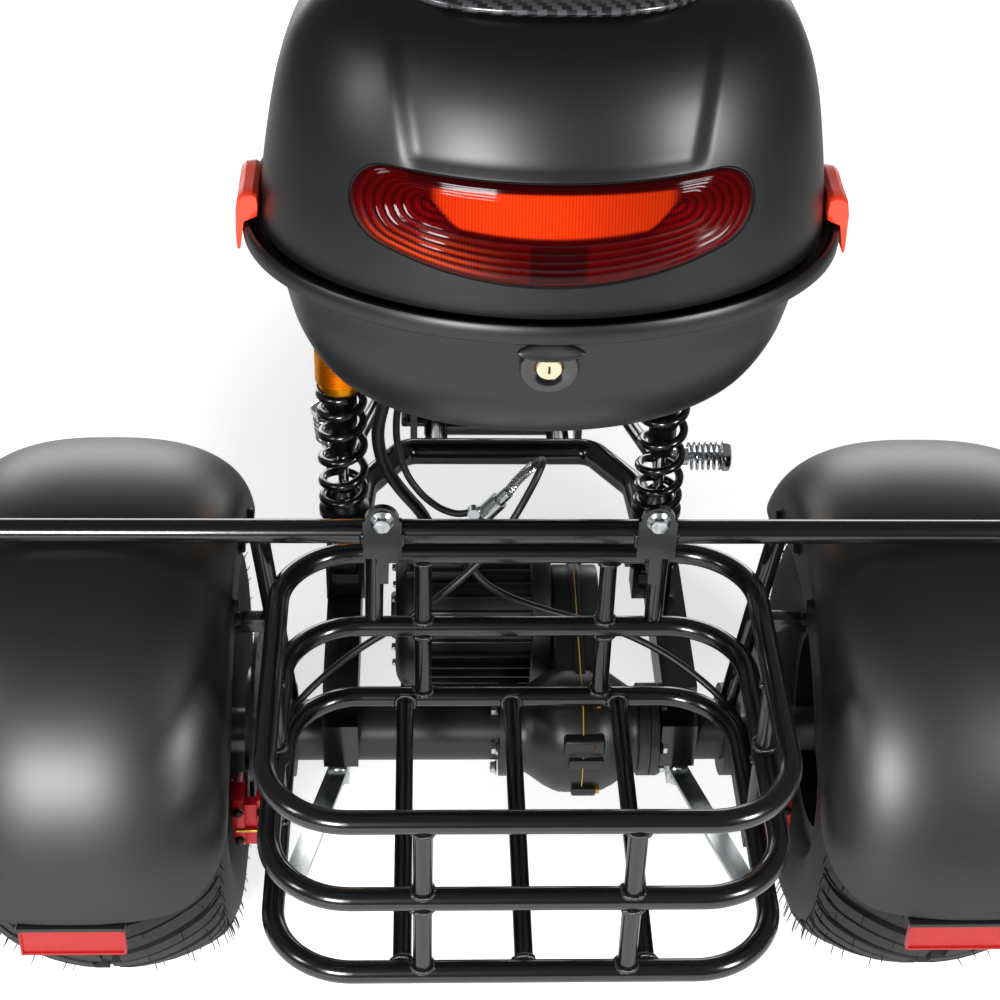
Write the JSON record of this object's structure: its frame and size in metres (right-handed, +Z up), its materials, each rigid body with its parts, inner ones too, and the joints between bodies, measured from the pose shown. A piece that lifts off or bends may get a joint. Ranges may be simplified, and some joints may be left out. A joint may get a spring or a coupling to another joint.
{
  "type": "electric three-wheel scooter",
  "caption": "Electric three-wheel scooter with fat tyres, driven rear axle, tubular rear basket, lockable tail box with lamp, two-step saddle and wide fork",
  "frame": {"origin": "on the ground under the middle of the overall box", "axes": "+X to the rider's right, +Y forward, +Z up"},
  "size_m": [1.064, 1.9618, 1.1559],
  "materials": {
    "frame_black": "gloss",
    "black_plastic": "satin",
    "tyre_rubber": "matte",
    "wheel_black": "satin",
    "cast_black": "semi-gloss",
    "steel_disc": "brushed",
    "grey_steel": "satin",
    "chrome": "polished",
    "gold_anodised": "anodised",
    "red_lens": "gloss",
    "red_latch": "semi-gloss",
    "red_metal": "satin",
    "seat_vinyl": "satin",
    "soft_rubber": "matte",
    "clear_lens": "clear",
    "amber_lens": "gloss",
    "gloss_black": "gloss",
    "cable_sheath": "satin",
    "hose_supply": "satin",
    "hose_left": "satin",
    "hose_right": "satin"
  },
  "bodies": {
    "chassis": {"main_frame": "frame_black", "swing_arm": "frame_black", "foot_deck": "cast_black", "battery_case": "black_plastic", "seat_pan": "black_plastic", "rider_seat": "seat_vinyl", "box_rack": "frame_black", "tail_box_base": "black_plastic", "box_lock": "gloss_black", "axle_housing": "cast_black", "differential": "cast_black", "drive_motor": "cast_black", "shock_dampers": "cast_black", "shock_collars": "gold_anodised", "shock_springs": "frame_black", "fender_bar": "frame_black", "basket_top": "frame_black", "basket_bottom": "frame_black", "basket_stays": "grey_steel", "rear_fender_left": "black_plastic", "rear_fender_right": "black_plastic", "reflectors": "red_lens", "rear_calipers": "red_metal", "peg_brackets": "frame_black", "controller_box": "cast_black", "brake_fittings": "grey_steel", "motor_cable": "cable_sheath", "supply_hose": "hose_supply", "left_brake_hose": "hose_left", "right_brake_hose": "hose_right"},
    "box_lid": {"tail_box_lid": "black_plastic", "tail_light": "red_lens", "box_latches": "red_latch"},
    "steering": {"fork_clamps": "cast_black", "fork_legs": "cast_black", "handlebar": "frame_black", "handgrips": "soft_rubber", "brake_levers": "cast_black", "display": "gloss_black", "headlight": "gloss_black", "headlight_lens": "clear_lens", "front_signals": "amber_lens", "mirrors": "gloss_black", "front_fender": "black_plastic", "front_axle": "grey_steel", "front_caliper": "red_metal"},
    "front_wheel": {"front_tyre": "tyre_rubber", "front_rim": "wheel_black", "front_brake_disc": "steel_disc"},
    "rear_left_wheel": {"rear_left_tyre": "tyre_rubber", "rear_left_rim": "wheel_black", "rear_left_hub": "grey_steel", "rear_left_brake_disc": "steel_disc"},
    "rear_right_wheel": {"rear_right_tyre": "tyre_rubber", "rear_right_rim": "wheel_black", "rear_right_hub": "grey_steel", "rear_right_brake_disc": "steel_disc"},
    "left_footpeg": {"footpeg_left": "chrome"},
    "right_footpeg": {"footpeg_right": "chrome"}
  },
  "joints": [
    {"name": "steering", "type": "hinge", "parent": "chassis", "child": "steering", "pos_m": [0, 0.70684, 0.21585], "axis": [0, -0.4384, 0.8988], "range_deg": [-35, 35]},
    {"name": "front_wheel_spin", "type": "hinge", "parent": "steering", "child": "front_wheel", "pos_m": [0, 0.73381, 0.229], "axis": [1, 0, 0], "continuous": true},
    {"name": "rear_left_wheel_spin", "type": "hinge", "parent": "chassis", "child": "rear_left_wheel", "pos_m": [-0.382, -0.6062, 0.229], "axis": [1, 0, 0], "continuous": true},
    {"name": "rear_right_wheel_spin", "type": "hinge", "parent": "chassis", "child": "rear_right_wheel", "pos_m": [0.398, -0.6062, 0.229], "axis": [1, 0, 0], "continuous": true},
    {"name": "lid_hinge", "type": "hinge", "parent": "chassis", "child": "box_lid", "pos_m": [0, -0.6102, 0.908], "axis": [-1, 0, 0], "range_deg": [0, 80]},
    {"name": "left_peg_fold", "type": "hinge", "parent": "chassis", "child": "left_footpeg", "pos_m": [-0.184, -0.2742, 0.324], "axis": [0, 1, 0], "range_deg": [-85, 0]},
    {"name": "right_peg_fold", "type": "hinge", "parent": "chassis", "child": "right_footpeg", "pos_m": [0.184, -0.2742, 0.324], "axis": [0, -1, 0], "range_deg": [0, 85]}
  ]
}
